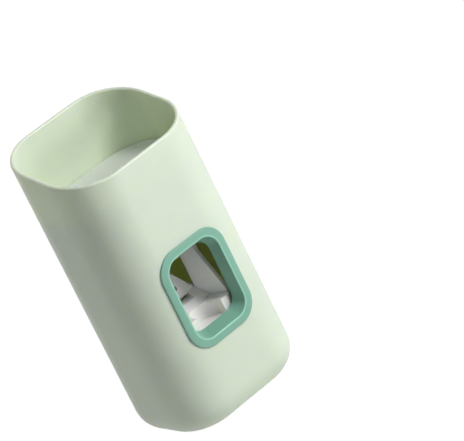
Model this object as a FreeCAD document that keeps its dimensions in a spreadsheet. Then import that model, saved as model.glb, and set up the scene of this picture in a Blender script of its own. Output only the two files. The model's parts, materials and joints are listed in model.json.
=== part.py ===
import FreeCAD, Part
import math
import operator
import os
from types import SimpleNamespace

import Sketcher
from FreeCAD import Placement, Rotation, Vector

# Toothpaste dispenser with a push-lever pump. The tube stands neck down in the open top, and a brush
# pushed through the window swings the lever, which presses the pump and drops paste on the bristles.
# Millimetres, origin at the middle of the base, +Z up, the window faces -Y.

DRIVING_SIZES = [
    # casing
    ("shell_width", 78, "casing, outside width"),
    ("shell_depth", 63, "casing, outside depth"),
    ("front_flat", 29.6, "casing, flat width of the front between its corners"),
    ("top_depth", 14.5, "open top, depth of the deck below the rim in front"),
    ("rim_rise", 18, "casing, rise of the rim from front to back"),
    ("base_round", 14, "casing, round of the base edge"),
    ("wall", 2, "casing, wall"),
    ("rim_round", 0.8, "casing, round of the rim edges"),
    ("rib_depth", 3, "seat rib, how far it stands in"),
    ("rib_thick", 2.4, "seat rib, thickness"),
    ("rib_place", -3, "seat rib, place along the side"),
    ("gusset_height", 12, "front gusset, height"),
    ("gusset_depth", 2.5, "front gusset, how far it stands in"),
    ("gusset_place", 12, "front gusset, distance from the middle"),
    # window frame
    ("lip_side", 4.2, "window lip, width beside the mouth"),
    ("lip_end", 3.9, "window lip, width over and under the mouth"),
    ("lip_turn", 3.4, "window lip, corner radius over that of the mouth"),
    ("frame_level", 64.2, "window, height of its middle"),
    ("lip_proud", 0.9, "window lip, how far it stands out"),
    ("lip_round", 0.45, "window lip, round of its outer edge"),
    ("mouth_round", 0.5, "tunnel mouth, round of its edge"),
    ("opening_width", 32.2, "tunnel mouth, width"),
    ("opening_height", 43.6, "tunnel mouth, height"),
    ("opening_corner", 8.2, "tunnel mouth, corner radius"),
    ("throat_side", 2.1, "tunnel end, how much narrower than the mouth on each side"),
    ("throat_end", 3.5, "tunnel end, how much lower than the mouth at each end"),
    ("throat_turn", 1.8, "tunnel end, corner radius under that of the mouth"),
    ("throat_depth", 6, "tunnel end, distance behind the casing's front"),
    ("plug_side", 1.7, "window plug, wall beside the mouth"),
    ("plug_end", 1.4, "window plug, wall over and under the mouth"),
    ("plug_turn", 1.4, "window plug, corner radius over that of the mouth"),
    ("tab_width", 7, "snap tab, width"),
    ("tab_length", 1.8, "snap tab, length along the plug"),
    ("tab_catch", 0.8, "snap tab, height over the plug"),
    ("tab_place", 8, "snap tab, distance from the middle"),
    # wall plate
    ("plate_width", 34, "wall plate, width"),
    ("plate_height", 42, "wall plate, height"),
    ("plate_corner", 6, "wall plate, corner radius"),
    ("plate_thick", 2.4, "wall plate, thickness"),
    ("recess_margin", 3.4, "plate recess, distance of its upper edge below the seats of the deck"),
    ("plate_edge", 0.5, "wall plate, gap to the recess all round"),
    ("plate_back", 0.3, "wall plate, gap to the recess floor"),
    ("tape_thick", 1.2, "adhesive pad, thickness"),
    ("tape_proud", 0.9, "adhesive pad, how far it stands out of the casing"),
    ("tape_margin", 2, "adhesive pad, margin inside the plate"),
    ("hook_width", 7, "hook, width"),
    ("hook_place", 9, "hook, distance from the middle"),
    ("hook_drop", 15, "hook, drop of its lower side below the upper edge of the plate"),
    ("hook_neck", 3, "hook, height of its neck"),
    ("hook_rise", 4, "hook, how far its tip stands up over the neck"),
    ("hook_thick", 1.8, "hook, thickness of its tip"),
    ("unhook_travel", 6, "how far the plate drops to unhook"),
    ("slot_gap", 0.4, "hook slot, gap round the neck"),
    # deck
    ("deck_rise", 58.3, "deck, height of its top over the middle of the window"),
    ("deck_thick", 2.5, "deck, thickness"),
    ("deck_gap", 0.4, "deck, gap to the casing all round"),
    ("deck_round", 0.5, "deck, round of its top edge"),
    ("seat_gap", 0.1, "deck, gap over its seats"),
    # neck seal
    ("neck_radius", 6.5, "neck seal, mouth radius for the tube neck"),
    ("neck_length", 5, "neck seal, depth of the mouth"),
    ("throttle_radius", 5, "neck seal, radius under the mouth"),
    ("sleeve_radius", 8.6, "neck seal, outside radius"),
    ("sleeve_proud", 0.4, "neck seal, how far it stands over the deck"),
    ("sleeve_drop", 7.3, "neck seal, drop of its lower end below the deck's top"),
    ("socket_setback", 31.5, "neck seal, distance of its axis behind the casing's front"),
    ("seal_flange", 11, "neck seal, flange radius"),
    ("seal_thick", 1.5, "neck seal, flange thickness"),
    # pump housing
    ("flange_width", 42, "pump flange, width"),
    ("flange_front", 18.5, "pump flange, reach to the front"),
    ("flange_rear", 15.5, "pump flange, reach to the back"),
    ("flange_thick", 3.5, "pump flange, thickness"),
    ("flange_corner", 4, "pump flange, corner radius"),
    ("plenum_drop", 8.5, "inlet space, drop of its floor below the deck's top"),
    ("boss_wall", 1.3, "inlet boss, wall"),
    ("boss_floor", 0.6, "inlet boss, floor under the inlet space"),
    ("pump_drop", 21.5, "pump chamber, drop of its axis below the deck's top"),
    ("chamber_radius", 8.2, "pump chamber, bore radius"),
    ("chamber_wall", 2, "pump chamber, wall"),
    ("chamber_front", 0.5, "pump chamber, front end"),
    ("chamber_rear", 9, "pump chamber, rear end"),
    ("web_width", 16, "web over the chamber, width"),
    ("rear_flange", 24, "rear flange, width and height"),
    ("rear_thick", 3, "rear flange, thickness"),
    ("snout_width", 10, "snout, width"),
    ("snout_drop", 18.5, "snout, drop of its lower side below the chamber axis"),
    ("snout_thick", 5.5, "snout, height"),
    ("snout_front", 18.5, "snout, reach to the front"),
    ("snout_rear", 8, "snout, rear end"),
    ("channel_radius", 1.7, "paste channel, radius"),
    ("well_radius", 1.9, "upright ends of the paste channel, radius"),
    ("outlet_place", 5.1, "chamber outlet, place along the chamber"),
    ("ear_inner", 16, "hinge ear, inner side"),
    ("ear_thick", 2.5, "hinge ear, thickness"),
    ("ear_width", 8, "hinge ear, width"),
    ("ear_drop", 4, "hinge ear, reach below the pin"),
    # valves
    ("valve_place", 4.7, "inlet valve, place along the chamber"),
    ("valve_radius", 3.6, "inlet valve, disc radius"),
    ("valve_thick", 0.9, "inlet valve, disc thickness"),
    ("valve_stem", 1.1, "inlet valve, stem radius"),
    ("valve_bulb", 1.6, "inlet valve, bulb radius"),
    ("valve_bulb_high", 1.2, "inlet valve, bulb height"),
    ("port_radius", 0.8, "inlet port, radius"),
    ("port_circle", 2.3, "inlet ports, radius of their circle"),
    ("valve_seat", 0.4, "inlet valve, seat above the bore"),
    # outlet
    ("nozzle_place", 13, "nozzle, reach to the front"),
    ("spigot_radius", 4.4, "nozzle spigot, radius"),
    ("spigot_high", 1.3, "nozzle spigot, height"),
    ("nozzle_flange", 1, "nozzle, flange thickness"),
    ("bill_radius", 2.7, "nozzle, radius of the bill"),
    ("bill_tip", 0.9, "nozzle, radius of the bill's tip"),
    ("bill_length", 2.6, "nozzle, length of the bill"),
    ("bill_bore", 1.5, "nozzle, bore radius"),
    ("bill_slit", 0.35, "nozzle, radius of the mouth"),
    ("collar_wall", 1.1, "nozzle collar, wall"),
    ("collar_lip", 0.8, "nozzle collar, lip thickness"),
    # diaphragm
    ("dome_radius", 7.4, "dome, radius at its root"),
    ("dome_top", 4.6, "dome, radius of its flat top"),
    ("dome_reach", 8, "dome, how far its top stands out in front"),
    ("dome_wall", 1.1, "dome, wall"),
    ("dome_flange", 1.5, "dome, flange thickness"),
    ("dome_shoulder_share", 0.72, "dome, share of the reach where it starts to close"),
    ("ring_wall", 1.6, "diaphragm ring, wall over the chamber"),
    ("ring_lip", 1.5, "diaphragm ring, lip thickness"),
    ("ring_grip", 1.6, "diaphragm ring, grip on the chamber"),
    ("ring_mouth", 7.8, "diaphragm ring, radius of its mouth"),
    # spring
    ("coil_radius", 4, "return spring, radius to the middle of the wire"),
    ("wire_radius", 0.4, "return spring, wire radius"),
    # rear cover
    ("gasket_thick", 0.8, "cover gasket, thickness"),
    ("cover_thick", 2.2, "chamber cover, thickness"),
    ("cover_corner", 3, "chamber cover, corner radius"),
    ("cup_depth", 0.6, "chamber cover, spigot depth in the bore"),
    ("cover_screw_place", 9.6, "cover screw, distance from the chamber axis both ways"),
    # lever
    ("pivot_place", 13, "lever pin, reach to the front"),
    ("pivot_drop", 11.5, "lever pin, drop of its axis below the deck's top"),
    ("pin_radius", 1.5, "lever pin, radius"),
    ("pin_over", 1.6, "lever pin, reach past the ears"),
    ("clip_thick", 0.6, "pin clip, thickness"),
    ("clip_radius", 3, "pin clip, radius"),
    ("clip_depth", 0.4, "pin clip, depth of its groove"),
    ("clip_room", 0.2, "pin clip, gap to the ear"),
    ("hub_radius", 4.5, "lever hub, radius"),
    ("hub_inner", 11, "lever hub, inner side"),
    ("hub_outer", 15, "lever hub, outer side"),
    ("bush_wall", 1, "pivot bush, wall"),
    ("bush_flange", 3.6, "pivot bush, flange radius"),
    ("bush_thick", 0.7, "pivot bush, flange thickness"),
    ("run_gap", 0.05, "running fit of the pin, radial"),
    ("ledge_rise", 9.2, "ledge, height of its top over the lower edge of the mouth"),
    ("wing_root", 9.6, "wing, distance of its inner face from the middle at the back"),
    ("wing_tip", 14.6, "wing, distance of its inner face from the middle in front"),
    ("wing_back", 5, "wing, reach to the front of its back edge"),
    ("wing_front", 22, "wing, reach to the front of its front edge"),
    ("wing_thick", 2.1, "wing, thickness"),
    ("wing_toe", 2.1, "wing, upright toe over the ledge"),
    ("wing_brow", 24.4, "wing, height over the ledge where the front edge reaches the arm"),
    ("wing_shoulder", 26.4, "wing, height over the ledge where the back edge draws in"),
    ("arm_front", 16, "arm, front edge"),
    ("arm_back", 10, "arm, back edge"),
    ("arm_length", 21, "arm, length of its slender part below the pin"),
    ("brow_front", 15, "wing, reach of its front edge at the brow"),
    ("wing_round", 0.35, "wing and gable, round of their free edges"),
    ("gable_thick", 2, "gable plate, thickness"),
    ("gable_apex", 19.5, "gable plate, height of its apex over the ledge"),
    ("gable_eaves", 5, "gable plate, height of its eaves over the ledge"),
    ("slot_high", 2.2, "gable slots, height"),
    ("low_slot_level", 3.6, "lower gable slot, height of its middle over the ledge"),
    ("low_slot_half", 4.9, "lower gable slot, half length"),
    ("top_slot_level", 10.2, "upper gable slot, height of its middle over the ledge"),
    ("top_slot_half", 0.8, "upper gable slot, half length"),
    ("ramp_rise", 5, "ramp at the gable's foot, height at the plate over the ledge"),
    ("ramp_lip", 0.6, "ramp at the gable's foot, thickness of its front edge"),
    ("ramp_reach", 12.9, "ramp at the gable's foot, reach of its front edge to the front"),
    ("bar_high", 6, "presser bar, height"),
    ("bar_front", 13, "presser bar, reach to the front"),
    ("pad_radius", 4.6, "presser pad, radius"),
    ("pad_gap", 0.3, "presser pad, gap to the dome"),
    ("pad_stem", 1.5, "presser pad, stem radius"),
    ("pad_stem_length", 2, "presser pad, stem length"),
    # cradle
    ("cradle_thick", 9.6, "cradle, thickness under the ledge"),
    ("notch_depth", 7.6, "brush notch, depth below the ledge"),
    ("notch_radius", 8, "brush notch, radius"),
    ("notch_place", 21.4, "brush notch, reach of its centre to the front"),
    ("prong_gap", 0.9, "prongs, gap to the end of the tunnel"),
    ("prong_half", 11.7, "prongs, half width over both tips"),
    ("cradle_rear", 2.6, "cradle, rear end behind the middle"),
    ("cradle_round", 0.4, "cradle, round of its edges"),
    ("stud_radius", 2.4, "lever stud, radius"),
    ("stud_high", 7, "lever stud, height over the ledge"),
    ("stud_side", 7.6, "lever stud, distance from the middle"),
    ("stud_place", 0.2, "lever stud, reach to the front of its axis"),
    # screws
    ("screw_radius", 1.1, "screws, shank radius"),
    ("screw_head", 2, "screws, head radius"),
    ("screw_head_high", 1.4, "screws, head height"),
    ("screw_cross", 0.55, "screws, half width of the recess"),
    ("screw_cross_deep", 0.7, "screws, depth of the recess"),
    ("housing_screw_bite", 2, "housing screw, depth in the deck"),
    ("rear_screw_side", 16, "rear housing screw, distance from the middle"),
    ("rear_screw_place", 13, "rear housing screw, place to the back"),
    ("front_screw_side", 7, "front housing screw, distance from the middle"),
    ("front_screw_place", 15.5, "front housing screw, reach to the front"),
    ("cradle_screw_bite", 5, "cradle screw, depth in the stud"),
    # fits and cuts
    ("fit_gap", 0.05, "gap of pieces that fit together, each side"),
    ("overrun", 1, "how far a cut reaches past what it cuts"),
]
PORT_COUNT = 4
SPRING_TURNS = 7
STEPS_PER_TURN = 16

OPERATIONS = {"+": operator.add, "-": operator.sub, "*": operator.mul, "/": operator.truediv}
PLANE_TURNS = {
    "XY": Rotation(),
    "XZ": Rotation(Vector(1, 0, 0), 90),
    "YZ": Rotation(Vector(1, 1, 1), 120),
}
# Local +Z of a turned piece or rod lies along this direction.
AXIS_TURNS = {
    "up": Rotation(),
    "down": Rotation(Vector(1, 0, 0), 180),
    "front": Rotation(Vector(1, 0, 0), 90),
    "back": Rotation(Vector(1, 0, 0), -90),
    "right": Rotation(Vector(0, 1, 0), 90),
}


class Size:
    """A size with its sheet expression and its present value, so sums of sizes stay bound to the sheet."""

    def __init__(self, text, value):
        self.text = text
        self.value = value

    def __add__(self, other):
        return joined(self, "+", other)

    def __radd__(self, other):
        return joined(other, "+", self)

    def __sub__(self, other):
        return joined(self, "-", other)

    def __rsub__(self, other):
        return joined(other, "-", self)

    def __mul__(self, other):
        return joined(self, "*", other)

    def __rmul__(self, other):
        return joined(other, "*", self)

    def __truediv__(self, other):
        return joined(self, "/", other)

    def __neg__(self):
        return joined(0, "-", self)


def as_size(thing):
    return thing if isinstance(thing, Size) else Size(repr(thing), thing)


def joined(left, sign, right):
    left = as_size(left)
    right = as_size(right)
    value = OPERATIONS[sign](left.value, right.value)
    return Size(f"({left.text} {sign} {right.text})", value)


doc = FreeCAD.newDocument("toothpaste_dispenser")
sheet = doc.addObject("Spreadsheet::Sheet", "Sizes")
pieces = []


def fill_sheet():
    """Write the driving sizes to the sheet and return them by name."""
    for row, (alias, value, note) in enumerate(DRIVING_SIZES, 1):
        sheet.set(f"A{row}", note)
        sheet.set(f"B{row}", str(value))
        sheet.setAlias(f"B{row}", alias)
    doc.recompute()
    sizes = {alias: Size(f"Sizes.{alias}", float(sheet.get(alias))) for alias, value, note in DRIVING_SIZES}
    return SimpleNamespace(**sizes)


def bind(thing, path, size):
    thing.setExpression(path, as_size(size).text)


def keep(thing, name):
    """Name a finished piece; its label is the name of its file."""
    thing.Label = name
    pieces.append(thing)
    return thing


# Sketch outlines

def place_point(sketch, geometry, end, across, along):
    for kind, size in (("DistanceX", as_size(across)), ("DistanceY", as_size(along))):
        index = sketch.addConstraint(Sketcher.Constraint(kind, -1, 1, geometry, end, size.value))
        sketch.setExpression(f"Constraints[{index}]", size.text)


def fix_radius(sketch, geometry, radius):
    index = sketch.addConstraint(Sketcher.Constraint("Radius", geometry, radius.value))
    sketch.setExpression(f"Constraints[{index}]", radius.text)


def spot(across, along):
    return Vector(as_size(across).value, as_size(along).value, 0)


def polygon(*points):
    """An outline of straight lines through the points."""
    def draw(sketch):
        first = sketch.GeometryCount
        count = len(points)
        for i in range(count):
            line = Part.LineSegment(spot(*points[i]), spot(*points[(i + 1) % count]))
            sketch.addGeometry(line, False)
        for i in range(count):
            following = first + (i + 1) % count
            sketch.addConstraint(Sketcher.Constraint("Coincident", first + i, 2, following, 1))
        for i in range(count):
            place_point(sketch, first + i, 1, *points[i])
    return draw


def rectangle(left, right, low, high):
    return polygon((left, low), (right, low), (right, high), (left, high))


def rounded(half_width, half_height, radius, middle=(0, 0)):
    """A rectangle with round corners about its middle."""
    def draw(sketch):
        first = sketch.GeometryCount
        across, along = middle
        for quarter, (side, end) in enumerate(((1, 1), (-1, 1), (-1, -1), (1, -1))):
            hub = spot(across + side * (half_width - radius), along + end * (half_height - radius))
            start = quarter * math.pi / 2
            circle = Part.Circle(hub, Vector(0, 0, 1), radius.value)
            sketch.addGeometry(Part.ArcOfCircle(circle, start, start + math.pi / 2), False)
        for quarter in range(4):
            arc = sketch.Geometry[first + quarter]
            following = sketch.Geometry[first + (quarter + 1) % 4]
            sketch.addGeometry(Part.LineSegment(arc.EndPoint, following.StartPoint), False)
        inner_width = half_width - radius
        inner_height = half_height - radius
        corners = (
            ((across + inner_width, along + half_height), (across - inner_width, along + half_height)),
            ((across - half_width, along + inner_height), (across - half_width, along - inner_height)),
            ((across - inner_width, along - half_height), (across + inner_width, along - half_height)),
            ((across + half_width, along - inner_height), (across + half_width, along + inner_height)),
        )
        for quarter, (begin, finish) in enumerate(corners):
            line = first + 4 + quarter
            sketch.addConstraint(Sketcher.Constraint("Coincident", first + quarter, 2, line, 1))
            sketch.addConstraint(Sketcher.Constraint("Coincident", line, 2, first + (quarter + 1) % 4, 1))
            place_point(sketch, line, 1, *begin)
            place_point(sketch, line, 2, *finish)
            fix_radius(sketch, first + quarter, radius)
    return draw


def circles(radius, *middles):
    def draw(sketch):
        for across, along in middles:
            index = sketch.addGeometry(Part.Circle(spot(across, along), Vector(0, 0, 1), radius.value), False)
            place_point(sketch, index, 3, across, along)
            fix_radius(sketch, index, radius)
    return draw


def together(*drawings):
    def draw(sketch):
        for drawing in drawings:
            drawing(sketch)
    return draw


# Moulded pieces: bodies with sketched features

def moulding(name):
    return keep(doc.addObject("PartDesign::Body", name), name)


def body_sketch(body, name, plane, draw, offset):
    """A sketch on a plane of the body, moved along the plane's normal (front for XZ, right for YZ)."""
    sketch = body.newObject("Sketcher::SketchObject", name + "_outline")
    support = next(item for item in body.Origin.OriginFeatures if item.Role == plane + "_Plane")
    sketch.AttachmentSupport = [(support, "")]
    sketch.MapMode = "FlatFace"
    bind(sketch, "AttachmentOffset.Base.z", offset)
    draw(sketch)
    return sketch


def add(body, name, plane, draw, start, end):
    """Material between two places along the plane's normal."""
    pad = body.newObject("PartDesign::Pad", name)
    pad.Profile = body_sketch(body, name, plane, draw, start)
    bind(pad, "Length", end - start)
    doc.recompute()
    return pad


def take(body, name, plane, draw, start, end):
    """A cut between two places along the plane's normal."""
    before = body.Shape.Volume
    pocket = body.newObject("PartDesign::Pocket", name)
    pocket.Profile = body_sketch(body, name, plane, draw, end)
    bind(pocket, "Length", end - start)
    doc.recompute()
    if not body.Shape.Volume < before:
        raise RuntimeError(f"{name} cuts nothing")
    return pocket


def round_edges(body, name, radius, wanted):
    """Round the edges of the body whose midpoints pass the test."""
    base = body.Tip
    names = [f"Edge{i}" for i, edge in enumerate(base.Shape.Edges, 1) if wanted(middle_of(edge), edge)]
    fillet = body.newObject("PartDesign::Fillet", name)
    fillet.Base = (base, names)
    bind(fillet, "Radius", radius)
    doc.recompute()
    return fillet


def middle_of(edge):
    return edge.valueAt((edge.FirstParameter + edge.LastParameter) / 2)


def turned(name, profile, axis="up", foot=(0, 0, 0)):
    """A piece of the pump module turned about its own axis, from (radius, height) points."""
    body = doc.addObject("PartDesign::Body", name)
    sketch = body_sketch(body, name, "XZ", polygon(*profile), as_size(0))
    turn = body.newObject("PartDesign::Revolution", name + "_turn")
    turn.Profile = sketch
    turn.ReferenceAxis = (sketch, ["V_Axis"])
    turn.Angle = 360
    across, along, level = foot
    set_place(body, axis, (across, along + module_place, level))
    doc.recompute()
    return body


def set_place(thing, axis, foot):
    thing.Placement = Placement(Vector(), AXIS_TURNS[axis])
    for letter, size in zip("xyz", foot):
        bind(thing, f"Placement.Base.{letter}", size)


# Built-up pieces: primitives, extrusions and booleans

def block(name, left, right, front, back, low, high):
    solid = doc.addObject("Part::Box", name)
    bind(solid, "Length", right - left)
    bind(solid, "Width", back - front)
    bind(solid, "Height", high - low)
    set_place(solid, "up", (left, front, low))
    return solid


def rod(name, axis, foot, length, radius):
    solid = doc.addObject("Part::Cylinder", name)
    bind(solid, "Radius", radius)
    bind(solid, "Height", length)
    set_place(solid, axis, foot)
    return solid


def extruded(name, plane, draw, start, end):
    """An outline on a main plane drawn out between two places along its normal."""
    sketch = doc.addObject("Sketcher::SketchObject", name + "_outline")
    sketch.Placement = Placement(Vector(), PLANE_TURNS[plane])
    letter, place = {"XY": ("z", start), "XZ": ("y", -start), "YZ": ("x", start)}[plane]
    bind(sketch, f"Placement.Base.{letter}", place)
    draw(sketch)
    solid = doc.addObject("Part::Extrusion", name)
    solid.Base = sketch
    solid.DirMode = "Normal"
    solid.Solid = True
    bind(solid, "LengthFwd", end - start)
    return solid


def fused(name, *solids):
    whole = doc.addObject("Part::MultiFuse", name)
    whole.Shapes = list(solids)
    whole.Refine = True
    return whole


def cut(name, base, *tools):
    result = doc.addObject("Part::Cut", name)
    result.Base = base
    result.Tool = tools[0] if len(tools) == 1 else fused(name + "_tools", *tools)
    result.Refine = True
    return result


def shared(name, first, second):
    result = doc.addObject("Part::Common", name)
    result.Base = first
    result.Tool = second
    return result


def mirrored(name, source):
    """The same solid on the other side of the middle plane."""
    copy = doc.addObject("Part::Mirroring", name)
    copy.Source = source
    copy.Normal = Vector(1, 0, 0)
    return copy


def set_in_module(thing):
    """Move a piece that is drawn about the tube socket to the socket's place in the casing."""
    bind(thing, "Placement.Base.y", module_place)
    doc.recompute()
    return thing


def grouped(name, solids):
    group = doc.addObject("Part::Compound", name)
    group.Links = list(solids)
    return keep(group, name)


def softened(name, base, radius, wanted):
    """Round the edges of a built-up solid whose midpoints pass the test."""
    doc.recompute()
    fillet = doc.addObject("Part::Fillet", name)
    fillet.Base = base
    fillet.Edges = [
        (i, radius.value, radius.value)
        for i, edge in enumerate(base.Shape.Edges, 1)
        if wanted(middle_of(edge), edge)
    ]
    return fillet


d = fill_sheet()
nothing = as_size(0)

# Places that several pieces share
half_width = d.shell_width / 2
half_depth = d.shell_depth / 2
inner_width = half_width - d.wall
inner_depth = half_depth - d.wall
rim_slope = d.rim_rise / d.shell_depth
corner_radius = (d.shell_width - d.front_flat) / 2
deck_level = d.frame_level + d.deck_rise
front_height = deck_level + d.top_depth
back_height = front_height + d.rim_rise
deck_under = deck_level - d.deck_thick
seat_level = deck_under - d.seat_gap
frame_width = d.opening_width + 2 * d.lip_side
frame_height = d.opening_height + 2 * d.lip_end
plug_width = d.opening_width + 2 * d.plug_side
plug_height = d.opening_height + 2 * d.plug_end
plug_corner = d.opening_corner + d.plug_turn
module_place = d.socket_setback - half_depth
flange_under = deck_under - d.flange_thick
recess_floor = half_depth + d.tape_proud - d.tape_thick - d.plate_thick - d.plate_back
recess_high = seat_level - d.recess_margin
plate_level = recess_high - d.plate_edge - d.plate_height
hook_level = recess_high - d.plate_edge - d.hook_drop
recess_low = plate_level - d.unhook_travel - d.plate_edge
recess_half = d.plate_width / 2 + d.plate_edge
inner_corner = corner_radius - d.wall
pump_level = deck_level - d.pump_drop
plenum_floor = deck_level - d.plenum_drop
snout_low = pump_level - d.snout_drop
snout_high = snout_low + d.snout_thick
pivot_level = deck_level - d.pivot_drop
ledge_level = d.frame_level - d.opening_height / 2 + d.ledge_rise
gable_eaves = ledge_level + d.gable_eaves
notch_floor = ledge_level - d.notch_depth
cradle_low = ledge_level - d.cradle_thick
prong_front = d.socket_setback - d.throat_depth - d.prong_gap
chamber_outer = d.chamber_radius + d.chamber_wall
ear_outer = d.ear_inner + d.ear_thick
cover_face = d.chamber_rear + d.gasket_thick
pad_face = d.dome_reach + d.pad_gap


def rim_at(place):
    """Height of the slanted rim plane at a place along Y."""
    return (back_height + front_height) / 2 + rim_slope * place


def is_near(first, second):
    return abs(first - as_size(second).value) < d.fit_gap.value


# Casing

def make_outer_shell():
    shell = moulding("outer_shell")
    add(shell, "casing_block", "XY", rounded(half_width, half_depth, corner_radius), nothing, back_height)
    front = -half_depth - d.overrun
    back = half_depth + d.overrun
    top = back_height + d.shell_depth
    slant = polygon((front, rim_at(front)), (back, rim_at(back)), (back, top), (front, top))
    take(shell, "slanted_rim", "YZ", slant, -half_width - d.overrun, half_width + d.overrun)
    round_edges(shell, "base_edge", d.base_round, lambda mid, edge: is_near(mid.z, 0))
    hollow_out(shell)
    round_edges(shell, "rim_edges", d.rim_round, lambda mid, edge: is_near(mid.z, rim_at(mid.y)))
    add_seats(shell)
    cut_recess(shell)
    window = rounded(plug_width / 2 + d.fit_gap, plug_height / 2 + d.fit_gap, plug_corner + d.fit_gap,
                     (nothing, d.frame_level))
    take(shell, "window", "XZ", window, inner_depth - d.overrun, half_depth + d.overrun)


def hollow_out(shell):
    """Leave the wall all round and below, open at the slanted rim."""
    base = shell.Tip
    rim = max(range(len(base.Shape.Faces)), key=lambda i: base.Shape.Faces[i].CenterOfMass.z)
    hollow = shell.newObject("PartDesign::Thickness", "hollow")
    hollow.Base = (base, [f"Face{rim + 1}"])
    hollow.Reversed = True
    bind(hollow, "Value", d.wall)
    doc.recompute()


def add_seats(shell):
    """Ribs at the sides and gussets in front that carry the deck, and the bulge behind the wall recess."""
    inside = inner_width - d.rib_depth
    within = half_width - d.wall / 2
    low = d.rib_place - d.rib_thick / 2
    high = d.rib_place + d.rib_thick / 2
    ribs = together(rectangle(inside, within, low, high), rectangle(-within, -inside, low, high))
    add(shell, "side_ribs", "XY", ribs, d.base_round, seat_level)
    front = -half_depth + d.wall / 2
    back = -inner_depth + d.gusset_depth
    thick = d.rib_thick / 2
    gussets = [
        rectangle(side * d.gusset_place - thick, side * d.gusset_place + thick, front, back)
        for side in (1, -1)
    ]
    add(shell, "front_gussets", "XY", together(*gussets), seat_level - d.gusset_height, seat_level)
    bulge_half = recess_half + d.wall
    bulge = rectangle(-bulge_half, bulge_half, recess_floor - d.wall, half_depth - d.wall * 3 / 4)
    add(shell, "recess_bulge", "XY", bulge, recess_low - d.wall, seat_level)


def cut_recess(shell):
    """The recess that takes the wall plate and lets it drop, with the slots for its hooks."""
    middle = (nothing, (recess_low + recess_high) / 2)
    recess = rounded(recess_half, (recess_high - recess_low) / 2, d.plate_corner + d.plate_edge, middle)
    take(shell, "plate_recess", "XZ", recess, -half_depth - d.overrun, -recess_floor)
    low = hook_level - d.unhook_travel - d.slot_gap
    high = hook_level + d.hook_neck + d.slot_gap
    reach = d.hook_width / 2 + d.slot_gap
    slots = [
        rectangle(side * d.hook_place - reach, side * d.hook_place + reach, low, high)
        for side in (1, -1)
    ]
    bulge_face = recess_floor - d.wall
    take(shell, "hook_slots", "XZ", together(*slots), -recess_floor - d.overrun, -bulge_face + d.overrun)


def make_window_frame():
    frame = moulding("window_frame")
    lip_front = half_depth + d.lip_proud
    middle = (nothing, d.frame_level)
    lip = rounded(frame_width / 2, frame_height / 2, d.opening_corner + d.lip_turn, middle)
    add(frame, "lip_block", "XZ", lip, half_depth - d.throat_depth, lip_front + d.overrun)
    low = d.frame_level - frame_height / 2 - d.overrun
    high = d.frame_level + frame_height / 2 + d.overrun
    casing = rounded(half_width + d.fit_gap, half_depth + d.fit_gap, corner_radius + d.fit_gap)
    take(frame, "lip_back", "XY", casing, low, high)
    plug = rounded(plug_width / 2, plug_height / 2, plug_corner, middle)
    plug_back = half_depth - d.throat_depth
    add(frame, "plug", "XZ", plug, plug_back, half_depth + d.lip_proud / 2)
    grown = rounded(half_width + d.lip_proud, half_depth + d.lip_proud, corner_radius + d.lip_proud)
    around = rectangle(-d.shell_width, d.shell_width, -d.shell_depth, d.shell_depth)
    take(frame, "lip_front", "XY", together(around, grown), low, high)
    tab_front = inner_depth - d.fit_gap
    tabs = []
    for side in (1, -1):
        left = side * d.tab_place - d.tab_width / 2
        for end in (1, -1):
            edge = d.frame_level + end * plug_height / 2
            spread = (edge - end * d.tab_catch, edge + end * d.tab_catch)
            tabs.append(rectangle(left, left + d.tab_width, *spread[::end]))
    add(frame, "snap_tabs", "XZ", together(*tabs), tab_front - d.tab_length, tab_front)
    mouth = rounded(d.opening_width / 2, d.opening_height / 2, d.opening_corner, middle)
    throat = rounded(d.opening_width / 2 - d.throat_side, d.opening_height / 2 - d.throat_end,
                     d.opening_corner - d.throat_turn, middle)
    tunnel = frame.newObject("PartDesign::SubtractiveLoft", "tunnel")
    tunnel.Profile = body_sketch(frame, "mouth", "XZ", mouth, lip_front + d.overrun / 2)
    tunnel.Sections = [body_sketch(frame, "throat", "XZ", throat, plug_back - d.overrun / 2)]
    doc.recompute()

    def on_front_rim(mid, edge):
        gap = outline_gap(mid, frame_width, frame_height, d.opening_corner + d.lip_turn)
        return is_near(front_gap(mid), d.lip_proud) and is_near(gap, 0)

    round_edges(frame, "lip_edge", d.lip_round, on_front_rim)

    def on_mouth(mid, edge):
        gap = outline_gap(mid, d.opening_width, d.opening_height, d.opening_corner)
        return is_near(front_gap(mid), d.lip_proud) and abs(gap) < d.lip_proud.value

    round_edges(frame, "mouth_edge", d.mouth_round, on_mouth)


def outline_gap(mid, width, height, corner):
    """How far a point lies outside a rounded outline about the middle of the window, seen from the front."""
    aside = abs(mid.x) - width.value / 2 + corner.value
    above = abs(mid.z - d.frame_level.value) - height.value / 2 + corner.value
    return math.hypot(max(aside, 0), max(above, 0)) + min(max(aside, above), 0) - corner.value


def front_gap(mid):
    """How far a point in front stands off the casing's front outline."""
    aside = max(abs(mid.x) - d.front_flat.value / 2, 0)
    forward = -mid.y - (half_depth.value - corner_radius.value)
    return math.hypot(aside, forward) - corner_radius.value


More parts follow.
